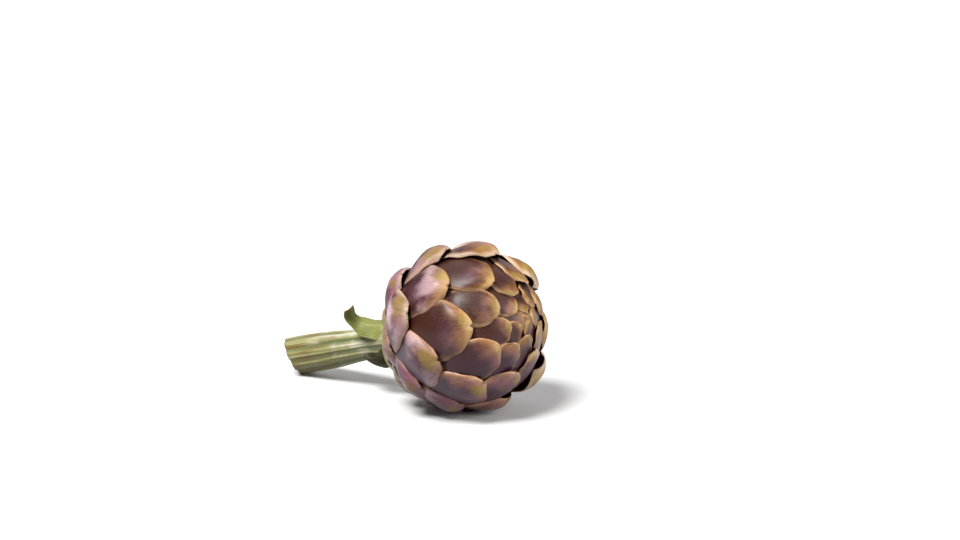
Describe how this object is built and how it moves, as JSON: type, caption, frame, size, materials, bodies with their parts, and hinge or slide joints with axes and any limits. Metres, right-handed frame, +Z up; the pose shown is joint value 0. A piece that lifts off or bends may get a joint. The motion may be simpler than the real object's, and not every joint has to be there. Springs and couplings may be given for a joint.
{
  "type": "artichoke",
  "caption": "Purple globe artichoke lying on its side: a round head of overlapping bracts, a short ribbed cut stem and small leaves at the neck.",
  "frame": {"origin": "middle of the flat spot that the head rests on, straight under the middle of the head", "axes": "+X from the cut end of the stem towards the tip of the head, +Z up"},
  "size_m": [0.1929, 0.1012, 0.1],
  "materials": {
    "bract": "waxy purple skin with a soft sheen, browner and greener towards the tips",
    "stem": "pale green ribbed stalk, matt, browner at the cut",
    "leaf": "soft matt yellow-green leaf"
  },
  "bodies": {
    "root": {"head": "bract", "stem": "stem", "neck_leaf_upper": "leaf", "neck_leaf_lower": "leaf", "neck_leaf_rear": "leaf"}
  },
  "joints": []
}
